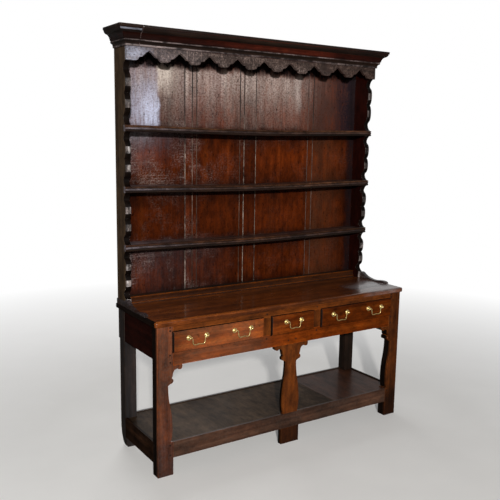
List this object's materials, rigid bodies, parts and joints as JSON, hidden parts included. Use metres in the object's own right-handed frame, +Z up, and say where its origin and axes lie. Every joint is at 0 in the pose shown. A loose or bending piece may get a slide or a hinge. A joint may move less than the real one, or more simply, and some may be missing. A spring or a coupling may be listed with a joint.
{
  "type": "welsh dresser",
  "caption": "Oak pot-board dresser: open plate rack with shaped frieze and scalloped ends on a drawer base with silhouette legs, swan-neck handles and a low open pot board.",
  "frame": {"origin": "middle of the footprint's box, on the floor", "axes": "+Z up, +X to the right of someone facing the drawers, +Y towards the back boards"},
  "size_m": [1.61, 0.4676, 2.03],
  "materials": {
    "dark_oak": "old dark oak, waxed",
    "back_oak": "reddish brown oak boards, polished",
    "red_oak": "red-brown oak, waxed",
    "warm_oak": "warm brown oak, waxed",
    "pot_board_oak": "worn grey-brown oak",
    "inner_oak": "dry unpolished oak",
    "brass": "aged, rubbed bright"
  },
  "bodies": {
    "root": {"back_leg_left": "dark_oak", "back_leg_right": "dark_oak", "back_rail": "dark_oak", "side_rail_left": "dark_oak", "side_rail_right": "dark_oak", "side_panel_left": "dark_oak", "side_panel_right": "dark_oak", "back_panel": "dark_oak", "rack_end_left": "dark_oak", "rack_end_right": "dark_oak", "rack_shoe_left": "dark_oak", "rack_shoe_right": "dark_oak", "shelf_1": "dark_oak", "shelf_2": "dark_oak", "shelf_3": "dark_oak", "frieze_board": "dark_oak", "cornice": "dark_oak", "top_board": "dark_oak", "back_board_1": "back_oak", "back_board_2": "back_oak", "back_board_3": "back_oak", "back_board_4": "back_oak", "front_leg_left": "red_oak", "front_leg_right": "red_oak", "centre_support": "red_oak", "top_rail": "red_oak", "drawer_muntin_left": "red_oak", "drawer_muntin_right": "red_oak", "front_rail": "red_oak", "rack_bottom_rail": "red_oak", "apron_rail": "warm_oak", "table_top": "warm_oak", "pot_board_1": "pot_board_oak", "pot_board_2": "pot_board_oak", "pot_board_3": "pot_board_oak", "drawer_runner_left": "inner_oak", "drawer_runner_right": "inner_oak", "drawer_runner_centre_left": "inner_oak", "drawer_runner_centre_right": "inner_oak"},
    "drawer_left": {"drawer_left_front": "warm_oak", "drawer_left_box": "inner_oak", "handle_1_post_left": "brass", "handle_1_post_right": "brass", "handle_2_post_left": "brass", "handle_2_post_right": "brass"},
    "drawer_centre": {"drawer_centre_front": "warm_oak", "drawer_centre_box": "inner_oak", "handle_3_post_left": "brass", "handle_3_post_right": "brass"},
    "drawer_right": {"drawer_right_front": "warm_oak", "drawer_right_box": "inner_oak", "handle_4_post_left": "brass", "handle_4_post_right": "brass", "handle_5_post_left": "brass", "handle_5_post_right": "brass"},
    "bail_1": {"handle_1_bail": "brass"},
    "bail_2": {"handle_2_bail": "brass"},
    "bail_3": {"handle_3_bail": "brass"},
    "bail_4": {"handle_4_bail": "brass"},
    "bail_5": {"handle_5_bail": "brass"}
  },
  "joints": [
    {"name": "drawer_left_slide", "type": "slide", "parent": "root", "child": "drawer_left", "axis": [0, -1, 0], "range_m": [0, 0.27]},
    {"name": "drawer_centre_slide", "type": "slide", "parent": "root", "child": "drawer_centre", "axis": [0, -1, 0], "range_m": [0, 0.27]},
    {"name": "drawer_right_slide", "type": "slide", "parent": "root", "child": "drawer_right", "axis": [0, -1, 0], "range_m": [0, 0.27]},
    {"name": "bail_1_hinge", "type": "hinge", "parent": "drawer_left", "child": "bail_1", "pos_m": [-0.5465, -0.2282, 0.647], "axis": [-1, 0, 0], "range_deg": [0, 95]},
    {"name": "bail_2_hinge", "type": "hinge", "parent": "drawer_left", "child": "bail_2", "pos_m": [-0.3025, -0.2282, 0.647], "axis": [-1, 0, 0], "range_deg": [0, 95]},
    {"name": "bail_3_hinge", "type": "hinge", "parent": "drawer_centre", "child": "bail_3", "pos_m": [0, -0.2282, 0.647], "axis": [-1, 0, 0], "range_deg": [0, 95]},
    {"name": "bail_4_hinge", "type": "hinge", "parent": "drawer_right", "child": "bail_4", "pos_m": [0.3025, -0.2282, 0.647], "axis": [-1, 0, 0], "range_deg": [0, 95]},
    {"name": "bail_5_hinge", "type": "hinge", "parent": "drawer_right", "child": "bail_5", "pos_m": [0.5465, -0.2282, 0.647], "axis": [-1, 0, 0], "range_deg": [0, 95]}
  ]
}
